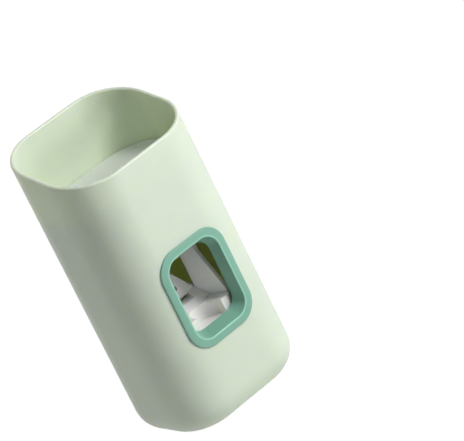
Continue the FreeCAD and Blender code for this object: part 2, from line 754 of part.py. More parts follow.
def make_wall_plate():
    plate_back = half_depth + d.tape_proud - d.tape_thick
    plate_face = plate_back - d.plate_thick
    middle = (nothing, plate_level + d.plate_height / 2)
    outline = rounded(d.plate_width / 2, d.plate_height / 2, d.plate_corner, middle)
    plate = extruded("plate_sheet", "XZ", outline, -plate_back, -plate_face)
    bulge_face = recess_floor - d.wall
    tip_back = bulge_face - d.slot_gap
    tip_front = tip_back - d.hook_thick
    neck_top = hook_level + d.hook_neck
    tip_top = neck_top + d.hook_rise - d.hook_thick
    root = plate_back - d.plate_thick / 2
    shape = polygon((root, hook_level), (root, neck_top), (tip_back, neck_top), (tip_back, tip_top),
                    (tip_front, tip_top - d.slot_gap), (tip_front, hook_level))
    hooks = []
    for side in (1, -1):
        left = side * d.hook_place - d.hook_width / 2
        right = side * d.hook_place + d.hook_width / 2
        hooks.append(extruded(f"hook_{'left' if side < 0 else 'right'}", "YZ", shape, left, right))
    keep(fused("wall_plate", plate, *hooks), "wall_plate")
    tape = rounded(d.plate_width / 2 - d.tape_margin, d.plate_height / 2 - d.tape_margin,
                   d.plate_corner - d.tape_margin, middle)
    pad = moulding("adhesive_pad")
    add(pad, "foam_tape", "XZ", tape, -half_depth - d.tape_proud, -plate_back)


# Deck and tube socket

def make_deck():
    deck = moulding("deck")
    outline = rounded(inner_width - d.deck_gap, inner_depth - d.deck_gap, inner_corner - d.deck_gap)
    add(deck, "deck_plate", "XY", outline, deck_under, deck_level)
    round_edges(deck, "deck_edge", d.deck_round, lambda mid, edge: is_near(mid.z, deck_level))
    hole = circles(d.sleeve_radius + d.fit_gap, (nothing, module_place))
    take(deck, "neck_hole", "XY", hole, deck_under - d.overrun, deck_level + d.overrun)
    spots = [(across, along + module_place) for across, along in housing_screw_spots()]
    pilots = circles(d.screw_radius + d.fit_gap, *spots)
    take(deck, "screw_pilots", "XY", pilots, deck_under - d.overrun, deck_under + d.housing_screw_bite)


def housing_screw_spots():
    return [
        (d.rear_screw_side, d.rear_screw_place),
        (-d.rear_screw_side, d.rear_screw_place),
        (d.front_screw_side, -d.front_screw_place),
        (-d.front_screw_side, -d.front_screw_place),
    ]


def make_neck_seal():
    top = deck_level + d.sleeve_proud
    sleeve_foot = deck_level - d.sleeve_drop
    profile = (
        (d.neck_radius, top),
        (d.sleeve_radius, top),
        (d.sleeve_radius, deck_under),
        (d.seal_flange, deck_under),
        (d.seal_flange, deck_under - d.seal_thick),
        (d.sleeve_radius, deck_under - d.seal_thick),
        (d.sleeve_radius, sleeve_foot),
        (d.throttle_radius, sleeve_foot),
        (d.throttle_radius, top - d.neck_length),
        (d.neck_radius, top - d.neck_length),
    )
    keep(turned("neck_seal", profile), "neck_seal")


# Pump

def make_pump_housing():
    flange_middle = (nothing, (d.flange_rear - d.flange_front) / 2)
    flange_half = (d.flange_rear + d.flange_front) / 2
    flange_outline = rounded(d.flange_width / 2, flange_half, d.flange_corner, flange_middle)
    flange = extruded("pump_flange", "XY", flange_outline, flange_under, deck_under)
    boss_radius = d.sleeve_radius + d.fit_gap + d.boss_wall
    boss_foot = plenum_floor - d.boss_floor
    boss = rod("inlet_boss", "up", (0, 0, boss_foot), deck_under - boss_foot, boss_radius)
    tube_length = d.chamber_rear - d.chamber_front
    tube = rod("chamber_tube", "back", (0, d.chamber_front, pump_level), tube_length, chamber_outer)
    collar_end = d.chamber_front + d.ring_grip + d.fit_gap
    web = block("chamber_web", -d.web_width / 2, d.web_width / 2, collar_end + d.fit_gap, d.chamber_rear,
                pump_level, flange_under + d.flange_thick / 2)
    half = d.rear_flange / 2
    rear = extruded("rear_plate", "XZ", rounded(half, half, d.cover_corner, (nothing, pump_level)),
                    -d.chamber_rear, -d.chamber_rear + d.rear_thick)
    snout_half = d.snout_width / 2
    snout = block("snout", -snout_half, snout_half, -d.snout_front, d.snout_rear, snout_low, snout_high)
    stalk = block("snout_stalk", -snout_half, snout_half, collar_end + d.fit_gap, d.snout_rear,
                  snout_low, pump_level)
    spigot = rod("nozzle_spigot", "down", (0, -d.nozzle_place, snout_low + d.channel_radius),
                 d.spigot_high + d.channel_radius, d.spigot_radius)
    right_ear = extruded("right_ear", "YZ", ear_outline(), d.ear_inner, ear_outer)
    left_ear = mirrored("left_ear", right_ear)
    solid = fused("housing_solid", flange, boss, tube, web, rear, snout, stalk, spigot, right_ear, left_ear)
    keep(set_in_module(cut("pump_housing", solid, *housing_cuts())), "pump_housing")


def ear_outline():
    reach = d.ear_width / 2
    low = pivot_level - d.ear_drop
    shoulder = low + reach / 2
    front = -d.pivot_place - reach
    back = -d.pivot_place + reach
    top = flange_under + d.flange_thick / 2
    return polygon((front + reach / 2, low), (back - reach / 2, low), (back, shoulder), (back, top),
                   (front, top), (front, shoulder))


def housing_cuts():
    sleeve_bore = d.sleeve_radius + d.fit_gap
    plenum = rod("plenum", "up", (0, 0, plenum_floor), deck_under - plenum_floor + d.overrun, sleeve_bore)
    seat = deck_under - d.seal_thick - d.fit_gap
    seat_radius = d.seal_flange + d.fit_gap
    flange_seat = rod("seal_seat", "up", (0, 0, seat), deck_under - seat + d.overrun, seat_radius)
    bore_length = d.chamber_rear - d.chamber_front + 2 * d.overrun
    bore_foot = (0, d.chamber_front - d.overrun, pump_level)
    bore = rod("chamber_bore", "back", bore_foot, bore_length, d.chamber_radius)
    ceiling = pump_level + d.chamber_radius + d.valve_seat
    valve_room = rod("valve_room", "up", (0, d.valve_place, pump_level), ceiling - pump_level,
                     d.valve_radius + d.valve_seat)
    port_foot = ceiling - d.overrun
    port_length = plenum_floor - ceiling + 2 * d.overrun
    stem_hole = rod("stem_hole", "up", (0, d.valve_place, port_foot), port_length, d.valve_stem + d.fit_gap)
    ports = []
    for i in range(PORT_COUNT):
        turn = 2 * math.pi * (i + 1 / 2) / PORT_COUNT
        across = d.port_circle * math.cos(turn)
        along = d.valve_place + d.port_circle * math.sin(turn)
        ports.append(rod(f"inlet_port_{i}", "up", (across, along, port_foot), port_length, d.port_radius))
    channel_level = (snout_low + snout_high) / 2
    well_end = d.channel_radius / 2
    drain = rod("drain", "up", (0, d.outlet_place, channel_level - well_end),
                pump_level - channel_level + well_end, d.well_radius)
    channel = rod("channel", "front", (0, d.outlet_place, channel_level),
                  d.outlet_place + d.nozzle_place, d.channel_radius)
    drop = rod("drop", "down", (0, -d.nozzle_place, channel_level + well_end),
               channel_level + well_end - snout_low + d.spigot_high + d.overrun, d.well_radius)
    pin_hole = rod("pin_hole", "right", (-ear_outer - d.overrun, -d.pivot_place, pivot_level),
                   2 * (ear_outer + d.overrun), d.pin_radius + d.fit_gap)
    screw_bore = d.screw_radius + d.fit_gap
    screw_holes = [
        rod(f"flange_hole_{i}", "up", (across, along, flange_under - d.overrun),
            d.flange_thick + 2 * d.overrun, screw_bore)
        for i, (across, along) in enumerate(housing_screw_spots())
    ]
    screw_holes += [
        rod(f"rear_hole_{i}", "back", (across, d.chamber_rear - d.rear_thick - d.overrun, along),
            d.rear_thick + 2 * d.overrun, screw_bore)
        for i, (across, along) in enumerate(cover_screw_spots())
    ]
    inlet = [plenum, flange_seat, bore, valve_room, stem_hole, *ports]
    return inlet + [drain, channel, drop, pin_hole, *screw_holes]


def cover_screw_spots():
    place = d.cover_screw_place
    return [(side * place, pump_level + end * place) for side in (1, -1) for end in (1, -1)]


def make_inlet_valve():
    ceiling = pump_level + d.chamber_radius + d.valve_seat
    passage = plenum_floor - ceiling
    profile = (
        (0, -d.valve_thick),
        (d.valve_stem, -d.valve_thick),
        (d.valve_radius, -d.valve_thick / 2),
        (d.valve_radius, 0),
        (d.valve_stem, 0),
        (d.valve_stem, passage),
        (d.valve_bulb, passage),
        (d.valve_stem, passage + d.valve_bulb_high),
        (0, passage + d.valve_bulb_high),
    )
    keep(turned("inlet_valve", profile, "up", (0, d.valve_place, ceiling)), "inlet_valve")


def make_diaphragm():
    """Dome with its flange on the chamber's front end; heights run to the front from there."""
    rim = chamber_outer
    reach = d.dome_reach + d.chamber_front
    shoulder = reach * d.dome_shoulder_share
    profile = (
        (d.dome_radius - d.dome_wall, 0),
        (rim, 0),
        (rim, d.dome_flange),
        (d.dome_radius, d.dome_flange),
        (d.dome_radius, shoulder),
        (d.dome_top, reach),
        (0, reach),
        (0, reach - d.dome_wall),
        (d.dome_top - d.dome_wall / 2, reach - d.dome_wall),
        (d.dome_radius - d.dome_wall, shoulder - d.dome_wall / 2),
    )
    foot = (0, d.chamber_front, pump_level)
    keep(turned("pump_diaphragm", profile, "front", foot), "pump_diaphragm")
    bore = chamber_outer + d.fit_gap
    outer = bore + d.ring_wall
    ring = (
        (bore, -d.ring_grip),
        (outer, -d.ring_grip),
        (outer, d.dome_flange + d.ring_lip),
        (d.ring_mouth, d.dome_flange + d.ring_lip),
        (d.ring_mouth, d.dome_flange),
        (bore, d.dome_flange),
    )
    keep(turned("diaphragm_ring", ring, "front", foot), "diaphragm_ring")


def make_return_spring():
    """Coil between the cover's cup and the dome's inside, one wire swept along a smooth helix."""
    wire = d.wire_radius.value
    radius = d.coil_radius.value
    clear = wire + d.fit_gap.value
    low = (module_place + d.chamber_rear - d.cup_depth).value - clear
    high = (module_place - d.dome_reach + d.dome_wall).value + clear
    steps = SPRING_TURNS * STEPS_PER_TURN
    rise = (high - low) / steps

    def on_helix(step):
        turn = 2 * math.pi * step / STEPS_PER_TURN
        level = pump_level.value + radius * math.sin(turn)
        return Vector(radius * math.cos(turn), low + rise * step, level)

    helix = Part.BSplineCurve()
    helix.interpolate([on_helix(i) for i in range(steps + 1)])
    path = Part.Wire(helix.toShape())
    start = on_helix(0)
    along = path.Edges[0].tangentAt(path.Edges[0].FirstParameter)
    section = Part.Wire(Part.makeCircle(wire, start, along))
    spring = doc.addObject("Part::Feature", "return_spring")
    spring.Shape = path.makePipeShell([section], True, True)
    spring.Placement = Placement()
    keep(spring, "return_spring")
    print("return spring: gap between turns", round(abs(rise) * STEPS_PER_TURN - 2 * wire, 2))


def make_chamber_cover():
    half = d.rear_flange / 2
    middle = (nothing, pump_level)
    bore = d.screw_radius + d.fit_gap
    gasket = moulding("cover_gasket")
    outline = rounded(half, half, d.cover_corner, middle)
    add(gasket, "gasket_sheet", "XZ", outline, -cover_face, -d.chamber_rear)
    rear = -cover_face - d.overrun
    front = -d.chamber_rear + d.overrun
    holes = circles(bore, *cover_screw_spots())
    take(gasket, "gasket_bore", "XZ", circles(d.chamber_radius, middle), rear, front)
    take(gasket, "gasket_holes", "XZ", holes, rear, front)
    set_in_module(gasket)
    cover = moulding("chamber_cover")
    back = cover_face + d.cover_thick
    add(cover, "cover_plate", "XZ", outline, -back, -cover_face)
    spigot_radius = d.chamber_radius - d.fit_gap
    add(cover, "cover_spigot", "XZ", circles(spigot_radius, middle), -cover_face,
        -cover_face + d.gasket_thick + d.cup_depth)
    take(cover, "cover_holes", "XZ", holes, -back - d.overrun, -cover_face + d.overrun)
    set_in_module(cover)


def make_nozzle():
    """Duckbill and its collar under the snout; heights run down from the spigot's face."""
    face = (0, -d.nozzle_place, snout_low - d.spigot_high)
    end = d.nozzle_flange + d.bill_length
    profile = (
        (d.bill_bore, 0),
        (d.spigot_radius, 0),
        (d.spigot_radius, d.nozzle_flange),
        (d.bill_radius, d.nozzle_flange),
        (d.bill_radius, d.nozzle_flange + d.collar_lip),
        (d.bill_tip, end),
        (d.bill_slit, end),
        (d.bill_bore, d.nozzle_flange + d.collar_lip),
    )
    keep(turned("outlet_nozzle", profile, "down", face), "outlet_nozzle")
    bore = d.spigot_radius + d.fit_gap
    mouth = d.bill_radius + d.fit_gap
    lip = d.nozzle_flange + d.collar_lip
    collar = (
        (bore, -d.spigot_high),
        (bore + d.collar_wall, -d.spigot_high),
        (bore + d.collar_wall, lip),
        (mouth, lip),
        (mouth, d.nozzle_flange),
        (bore, d.nozzle_flange),
    )
    keep(turned("nozzle_collar", collar, "down", face), "nozzle_collar")


# Lever

def make_pin():
    reach = ear_outer + d.pin_over
    neck = d.pin_radius - d.clip_depth
    groove = ear_outer + d.clip_room
    profile = (
        (0, -reach),
        (d.pin_radius, -reach),
        (d.pin_radius, -groove - d.clip_thick),
        (neck, -groove - d.clip_thick),
        (neck, -groove),
        (d.pin_radius, -groove),
        (d.pin_radius, groove),
        (neck, groove),
        (neck, groove + d.clip_thick),
        (d.pin_radius, groove + d.clip_thick),
        (d.pin_radius, reach),
        (0, reach),
    )
    axis = (0, -d.pivot_place, pivot_level)
    keep(turned("pivot_pin", profile, "right", axis), "pivot_pin")
    grip = neck + d.fit_gap
    clips = []
    for side in (1, -1):
        groove_low = groove if side > 0 else -groove - d.clip_thick
        low = groove_low + d.fit_gap
        high = groove_low + d.clip_thick - d.fit_gap
        ring = ((grip, low), (d.clip_radius, low), (d.clip_radius, high), (grip, high))
        clips.append(turned(f"clip_{'left' if side < 0 else 'right'}", ring, "right", axis))
    grouped("pin_clips", clips)


def make_bushes():
    bore = d.pin_radius + d.run_gap
    outer = bore + d.bush_wall
    axis = (0, -d.pivot_place, pivot_level)
    right = ((bore, d.hub_inner), (outer, d.hub_inner), (outer, d.hub_outer), (d.bush_flange, d.hub_outer),
             (d.bush_flange, d.hub_outer + d.bush_thick), (bore, d.hub_outer + d.bush_thick))
    left = tuple((radius, -place) for radius, place in right)
    bushes = [turned("bush_right", right, "right", axis), turned("bush_left", left, "right", axis)]
    grouped("pivot_bushes", bushes)


def make_push_lever():
    lever = fused("lever_solid", *wings(), gable(), ramp(), presser_bar(), *hubs(), *studs())
    keep(set_in_module(cut("push_lever", lever, *lever_cuts())), "push_lever")


def on_free_edge(mid, edge):
    """Long front and back edges of the wings and the slopes of the gable."""
    low = ledge_level.value + d.wing_toe.value / 2
    high = ledge_level.value + d.wing_shoulder.value - d.wing_toe.value / 2
    long_enough = edge.Length > d.wing_root.value
    upright = abs(edge.tangentAt(edge.FirstParameter).z) > 1 / 2
    return low < mid.z < high and long_enough and upright


def wings():
    """The right wing with its arm, from its plan and its side view, and the left one."""
    back = d.gable_thick - d.wing_back
    flare = (d.wing_tip - d.wing_root) / (d.wing_front - d.wing_back)
    heel = d.wing_root - flare * d.gable_thick
    plan = polygon((heel, back), (d.wing_tip, -d.wing_front), (d.wing_tip + d.wing_thick, -d.wing_front),
                   (heel + d.wing_thick, back))
    shoulder = ledge_level + d.wing_shoulder
    arm_foot = pivot_level - d.arm_length
    band = extruded("wing_band", "XY", plan, ledge_level, pivot_level)
    side = polygon((back, ledge_level), (back, gable_eaves), (-d.wing_back, gable_eaves),
                   (-d.wing_back, shoulder), (-d.arm_back, arm_foot), (-d.arm_back, pivot_level),
                   (-d.arm_front, pivot_level), (-d.arm_front, arm_foot),
                   (-d.brow_front, ledge_level + d.wing_brow),
                   (-d.wing_front, ledge_level + d.wing_toe), (-d.wing_front, ledge_level))
    view = extruded("wing_view", "YZ", side, nothing, half_width)
    right = softened("right_wing", shared("sharp_wing", band, view), d.wing_round, on_free_edge)
    return right, mirrored("left_wing", right)


def gable():
    eaves = d.wing_root + d.wing_thick / 2
    apex = ledge_level + d.gable_apex
    shape = polygon((-eaves, ledge_level), (eaves, ledge_level), (eaves, gable_eaves),
                    (d.wing_root, gable_eaves), (nothing, apex), (-d.wing_root, gable_eaves),
                    (-eaves, gable_eaves))
    sharp = extruded("sharp_gable", "XZ", shape, d.wing_back - d.gable_thick, d.wing_back)
    return softened("gable_plate", sharp, d.wing_round, on_free_edge)


def ramp():
    """Slope that leads from the gable plate down to the brush notch, as wide as the wings leave room."""
    flare = (d.wing_tip - d.wing_root) / (d.wing_front - d.wing_back)
    back = d.gable_thick / 2 - d.wing_back
    root = d.wing_root + d.wing_thick / 2
    tip = root + flare * (d.ramp_reach - d.wing_back)
    plan = polygon((-root, back), (-tip, -d.ramp_reach), (tip, -d.ramp_reach), (root, back))
    top = ledge_level + d.ramp_rise
    side = polygon((back, ledge_level), (back, top), (-d.wing_back, top),
                   (-d.ramp_reach, ledge_level + d.ramp_lip), (-d.ramp_reach, ledge_level))
    return shared("gable_ramp", extruded("ramp_band", "XY", plan, ledge_level, top),
                  extruded("ramp_view", "YZ", side, -half_width, half_width))


def presser_bar():
    half = d.hub_inner + d.wing_thick / 2
    return block("presser_bar", -half, half, -d.bar_front, -d.arm_back,
                 pump_level - d.bar_high / 2, pump_level + d.bar_high / 2)


def hubs():
    right = rod("right_hub", "right", (d.hub_inner, -d.pivot_place, pivot_level),
                d.hub_outer - d.hub_inner, d.hub_radius)
    return right, mirrored("left_hub", right)


def studs():
    right = rod("right_stud", "up", (d.stud_side, -d.stud_place, ledge_level), d.stud_high, d.stud_radius)
    rib = block("right_stud_rib", d.stud_side - d.stud_radius, d.stud_side + d.stud_radius,
                -d.wing_back + d.gable_thick / 2, -d.stud_place, ledge_level, ledge_level + d.stud_high)
    return right, rib, mirrored("left_stud", right), mirrored("left_stud_rib", rib)


def lever_cuts():
    bush_bore = d.pin_radius + d.run_gap + d.bush_wall + d.fit_gap
    pin_way = rod("pin_way", "right", (-d.hub_outer - d.overrun, -d.pivot_place, pivot_level),
                  2 * (d.hub_outer + d.overrun), bush_bore)
    front = -d.ramp_reach
    back = d.gable_thick - d.wing_back + d.fit_gap
    slots = [
        block(name, -half, half, front, back, level - d.slot_high / 2, level + d.slot_high / 2)
        for name, level, half in (("low_slot", ledge_level + d.low_slot_level, d.low_slot_half),
                                  ("top_slot", ledge_level + d.top_slot_level, d.top_slot_half))
    ]
    stem_hole = rod("pad_stem_hole", "front", (0, d.overrun - d.arm_back, pump_level),
                    d.pad_stem_length + d.overrun + d.fit_gap, d.pad_stem + d.fit_gap)
    pilot = rod("right_pilot", "up", (d.stud_side, -d.stud_place, ledge_level - d.overrun),
                d.cradle_screw_bite + d.overrun + d.fit_gap, d.screw_radius + d.fit_gap)
    return [pin_way, *slots, stem_hole, pilot, mirrored("left_pilot", pilot)]


def make_presser_pad():
    """Rubber button in the bar; heights run to the back from the bar's rear face."""
    thick = d.arm_back - pad_face
    profile = (
        (0, -d.pad_stem_length),
        (d.pad_stem, -d.pad_stem_length),
        (d.pad_stem, 0),
        (d.pad_radius, 0),
        (d.pad_radius, thick / 2),
        (d.pad_radius - thick / 2, thick),
        (0, thick),
    )
    keep(turned("presser_pad", profile, "back", (0, -d.arm_back, pump_level)), "presser_pad")


def make_cradle():
    """Ledge at the lever's foot: its prongs flank a U notch that is open to the front."""
    cradle = moulding("brush_cradle")
    heel = d.wing_root + d.wing_thick
    toe = d.wing_tip + d.wing_thick
    plan = polygon((-d.prong_half, -prong_front), (d.prong_half, -prong_front), (toe, -d.wing_front),
                   (heel, -d.wing_back), (heel, d.cradle_rear), (-heel, d.cradle_rear),
                   (-heel, -d.wing_back), (-toe, -d.wing_front))
    add(cradle, "ledge", "XY", plan, cradle_low, ledge_level)
    front = -prong_front - d.overrun
    round_end = circles(d.notch_radius, (nothing, -d.notch_place))
    straight = rectangle(-d.notch_radius, d.notch_radius, front, -d.notch_place)
    take(cradle, "notch_round", "XY", round_end, notch_floor, ledge_level + d.overrun)
    take(cradle, "notch_mouth", "XY", straight, notch_floor, ledge_level + d.overrun)
    round_edges(cradle, "ledge_edges", d.cradle_round, lambda mid, edge: is_near(mid.z, ledge_level))
    spots = [(side * d.stud_side, -d.stud_place) for side in (1, -1)]
    take(cradle, "screw_ways", "XY", circles(d.screw_radius + d.fit_gap, *spots), cradle_low - d.overrun,
         ledge_level + d.overrun)
    take(cradle, "screw_wells", "XY", circles(d.screw_head + d.fit_gap, *spots), cradle_low - d.overrun,
         notch_floor)
    set_in_module(cradle)


# Screws

def screw(name, length, axis, foot):
    """Pan-head screw: its shank runs along the axis from the foot, its head lies behind."""
    profile = (
        (0, -d.screw_head_high + d.screw_cross_deep),
        (d.screw_cross, -d.screw_head_high + d.screw_cross_deep),
        (d.screw_cross, -d.screw_head_high),
        (d.screw_head - d.screw_head_high / 2, -d.screw_head_high),
        (d.screw_head, -d.screw_head_high / 2),
        (d.screw_head, 0),
        (d.screw_radius, 0),
        (d.screw_radius, length - d.screw_radius),
        (d.screw_radius / 2, length),
        (0, length),
    )
    return turned(name, profile, axis, foot)


def make_screws():
    length = d.flange_thick + d.housing_screw_bite - d.fit_gap
    grouped("housing_screws", [
        screw(f"housing_screw_{i}", length, "up", (across, along, flange_under))
        for i, (across, along) in enumerate(housing_screw_spots())
    ])
    back = cover_face + d.cover_thick
    length = d.cover_thick + d.gasket_thick + d.rear_thick
    grouped("cover_screws", [
        screw(f"cover_screw_{i}", length, "front", (across, back, along))
        for i, (across, along) in enumerate(cover_screw_spots())
    ])
    length = ledge_level - notch_floor + d.cradle_screw_bite
    grouped("cradle_screws", [
        screw(f"cradle_screw_{i}", length, "up", (side * d.stud_side, -d.stud_place, notch_floor))
        for i, side in enumerate((1, -1))
    ])


def write_steps():
    """Check every object, then write one file for each piece."""
    doc.recompute()
    for thing in doc.Objects:
        if "Invalid" in thing.State or "Error" in thing.State:
            raise RuntimeError(f"{thing.Name} failed: {thing.State}")
    for piece in pieces:
        if piece.Shape.isNull() or not piece.Shape.isValid() or not piece.Shape.Solids:
            raise RuntimeError(f"{piece.Label} has no valid solid")
    os.makedirs("parts", exist_ok=True)
    for piece in pieces:
        piece.Shape.exportStep(f"parts/{piece.Label}.step")
        print(piece.Label, len(piece.Shape.Solids), "solid(s)", round(piece.Shape.Volume, 1), "mm3")


make_outer_shell()
make_window_frame()
make_wall_plate()
make_deck()
make_neck_seal()
make_pump_housing()
make_inlet_valve()
make_diaphragm()
make_return_spring()
make_chamber_cover()
make_nozzle()
make_pin()
make_bushes()
make_push_lever()
make_presser_pad()
make_cradle()
make_screws()
write_steps()
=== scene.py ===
import json
import math

import bmesh
import bpy
from mathutils import Matrix, Vector


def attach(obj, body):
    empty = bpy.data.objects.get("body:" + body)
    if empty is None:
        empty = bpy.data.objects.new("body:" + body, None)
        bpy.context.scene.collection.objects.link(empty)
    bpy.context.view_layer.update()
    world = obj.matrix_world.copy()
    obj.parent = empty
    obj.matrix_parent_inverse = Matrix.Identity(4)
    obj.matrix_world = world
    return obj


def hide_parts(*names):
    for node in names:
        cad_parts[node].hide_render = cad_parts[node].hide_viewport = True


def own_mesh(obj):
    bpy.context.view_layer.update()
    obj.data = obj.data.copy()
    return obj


# Toothpaste dispenser: mint casing with a teal brush window, a white push lever behind it and the
# pump under the deck of the open top. Metres, in the frame of the solids.

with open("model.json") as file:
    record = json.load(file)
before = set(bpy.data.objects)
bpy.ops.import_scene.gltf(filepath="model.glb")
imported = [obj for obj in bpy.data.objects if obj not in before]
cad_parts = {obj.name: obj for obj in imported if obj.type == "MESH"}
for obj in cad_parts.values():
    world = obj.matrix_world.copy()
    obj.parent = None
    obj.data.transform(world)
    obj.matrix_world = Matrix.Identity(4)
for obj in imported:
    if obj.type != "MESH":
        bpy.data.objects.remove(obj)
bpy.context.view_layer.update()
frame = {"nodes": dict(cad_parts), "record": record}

MM = 0.001
FULL_TURN = 2 * math.pi


class Wire:
    """One output of a node; sums and products of wires and numbers add their own nodes."""

    def __init__(self, tree, socket=None):
        self.tree = tree
        self.socket = socket

    def make(self, kind, settings=None, inputs=None, output=0):
        """Any node: its settings first, then the values or links of its sockets."""
        node = self.tree.nodes.new(kind)
        for name, value in (settings or {}).items():
            setattr(node, name, value)
        for name, value in (inputs or {}).items():
            for part in value if isinstance(value, list) else [value]:
                if isinstance(part, Wire):
                    self.tree.links.new(part.socket, node.inputs[name])
                else:
                    node.inputs[name].default_value = part
        return Wire(self.tree, node.outputs[output] if node.outputs else None)

    def maths(self, operation, first, second=0.0):
        return self.make("ShaderNodeMath", {"operation": operation}, {0: first, 1: second})

    def __add__(self, other):
        return self.maths("ADD", self, other)

    __radd__ = __add__

    def __sub__(self, other):
        return self.maths("SUBTRACT", self, other)

    def __rsub__(self, other):
        return self.maths("SUBTRACT", other, self)

    def __mul__(self, other):
        return self.maths("MULTIPLY", self, other)

    __rmul__ = __mul__

    def __truediv__(self, other):
        return self.maths("DIVIDE", self, other)

    def __rtruediv__(self, other):
        return self.maths("DIVIDE", other, self)


# Finishes: what they are mixed from

def new_material(name):
    material = bpy.data.materials.new(name)
    material.use_nodes = True
    material.node_tree.nodes.clear()
    return material, Wire(material.node_tree)


def new_finish(name):
    """An empty material for a piece, with the wire of its object coordinates."""
    material, sheet = new_material(name)
    return material, sheet, sheet.make("ShaderNodeTexCoord", output="Object")


def noise(sheet, where, size, detail=2.0, rough=0.5):
    """Noise whose features are about one size long, from 0 to 1."""
    return sheet.make("ShaderNodeTexNoise", None, {
        "Vector": where, "Scale": 1 / size, "Detail": detail, "Roughness": rough})


def graded(sheet, value, low, high):
    """0 at low, 1 at high and held beyond them; low may be the larger of the two."""
    return sheet.make("ShaderNodeMapRange", {"clamp": True}, {
        "Value": value, "From Min": low, "From Max": high})


def mixed(sheet, factor, first, second):
    return sheet.make(
        "ShaderNodeMix", {"data_type": "RGBA"}, {0: factor, 6: first, 7: second}, output=2)


def shade(colour, factor):
    return tuple(min(channel * factor, 1) for channel in colour) + (1,)


def bumped(sheet, height, depth, strength):
    return sheet.make(
        "ShaderNodeBump", None, {"Height": height, "Distance": depth, "Strength": strength})


def finish_surface(sheet, sockets):
    surface = sheet.make("ShaderNodeBsdfPrincipled", None, sockets)
    sheet.make("ShaderNodeOutputMaterial", None, {"Surface": surface})


def split(sheet, where):
    """The coordinates of a place: across, along and up."""
    node = sheet.make("ShaderNodeSeparateXYZ", None, {"Vector": where}).socket.node
    return [Wire(sheet.tree, socket) for socket in node.outputs]


# Bands along edges where the colour gets a painted highlight and the gloss is smoother

RIM_SLOPE = 18 / 63
RIM_MIDDLE = 146 * MM
RIM_FADE = (1.0 * MM, 0.4 * MM)

WINDOW_LEVEL = 64.2 * MM
MOUTH_HALF_WIDTH = 16.1 * MM
MOUTH_HALF_HEIGHT = 21.8 * MM
MOUTH_CORNER = 8.2 * MM
MOUTH_OFFSET = 0.2 * MM
MOUTH_FADE = (0.5 * MM, 0.2 * MM)
MOUTH_DEPTH = (-31.2 * MM, -31.8 * MM)


def rim_highlight_band(sheet, where):
    """1 along the edge of the casing's slanted rim, the band of a painted highlight."""
    _, along, level = split(sheet, where)
    below = along * RIM_SLOPE + RIM_MIDDLE - level
    return graded(sheet, below, *RIM_FADE)


def mouth_highlight_band(sheet, where):
    """1 along the front edge of the window's tunnel, by the distance from its rounded outline."""
    # the band where the frame's colour gets a painted highlight
    across, along, level = split(sheet, where)
    aside = sheet.maths("ABSOLUTE", across) - (MOUTH_HALF_WIDTH - MOUTH_CORNER)
    above = sheet.maths("ABSOLUTE", level - WINDOW_LEVEL) - (MOUTH_HALF_HEIGHT - MOUTH_CORNER)
    past_side = sheet.maths("MAXIMUM", aside, 0.0)
    past_end = sheet.maths("MAXIMUM", above, 0.0)
    within = sheet.maths("MINIMUM", sheet.maths("MAXIMUM", aside, above), 0.0)
    corner = sheet.maths("SQRT", past_side * past_side + past_end * past_end)
    gap = corner + within - MOUTH_CORNER
    near = graded(sheet, sheet.maths("ABSOLUTE", gap - MOUTH_OFFSET), *MOUTH_FADE)
    return near * graded(sheet, along, *MOUTH_DEPTH)


# Finishes: plastics, rubbers, steel and foam

NOISE_MIDDLE = (0.3, 0.7)
CLOUD_SIZE = 30 * MM
RUB_SIZE = 9 * MM
RUB_DULLING = 0.06
GRAIN_DULLING = 0.02
EDGE_POLISH = 0.16
RELIEF_DEPTH = 0.02 * MM
GLOW_COLOURS = (1.7, 1.6, 0.4)
GLOW_DEPTH = 2.5 * MM


def moulded_plastic(name, colour, roughness, grain, grain_strength, cloud=0.02, specular=0.5,
                    glow=0.0, edge=None, highlight_factor=1.0):
    """Moulded plastic: spark-eroded grain, faint clouds in the colour and softly uneven gloss.

    A thin wall lets some light through, less of the blue, and glow is how much. Along an edge
    band, when one is given, the colour is painted paler as a painted highlight and the gloss is
    smoother.
    """
    material, sheet, where = new_finish(name)
    clouds = graded(sheet, noise(sheet, where, CLOUD_SIZE, detail=3.0), *NOISE_MIDDLE)
    base = mixed(sheet, clouds, shade(colour, 1 - cloud), shade(colour, 1 + cloud))
    rubbed = graded(sheet, noise(sheet, where, RUB_SIZE, detail=4.0, rough=0.6), *NOISE_MIDDLE)
    fine = noise(sheet, where, grain, detail=3.0, rough=0.6)
    smoothest = roughness - (RUB_DULLING + GRAIN_DULLING) / 2
    gloss = smoothest + rubbed * RUB_DULLING + fine * GRAIN_DULLING
    if edge:
        # painted highlight: along the edge band the colour is painted paler, and the gloss is
        # smoother
        highlight_and_polish = edge(sheet, where)
        base = mixed(sheet, highlight_and_polish, base, shade(colour, highlight_factor))
        gloss = gloss - highlight_and_polish * EDGE_POLISH
    finish_surface(sheet, {
        "Base Color": base,
        "Roughness": gloss,
        "Specular IOR Level": specular,
        "Subsurface Weight": glow,
        "Subsurface Radius": GLOW_COLOURS,
        "Subsurface Scale": GLOW_DEPTH,
        "Normal": bumped(sheet, fine, RELIEF_DEPTH, grain_strength),
    })
    return material


def soft_silicone(name, colour, roughness):
    """Milky silicone rubber: light goes a little way in, with a dusty bloom on the skin."""
    material, sheet, where = new_finish(name)
    bloom = graded(sheet, noise(sheet, where, 4 * MM, detail=5.0, rough=0.65), 0.35, 0.75)
    skin = noise(sheet, where, 0.5 * MM)
    finish_surface(sheet, {
        "Base Color": mixed(sheet, bloom, shade(colour, 0.96), shade(colour, 1.03)),
        "Roughness": roughness + bloom * 0.12,
        "Subsurface Weight": 0.25,
        "Subsurface Radius": (1.0, 1.0, 1.0),
        "Subsurface Scale": 1.5 * MM,
        "Normal": bumped(sheet, skin, RELIEF_DEPTH, 0.25),
    })
    return material


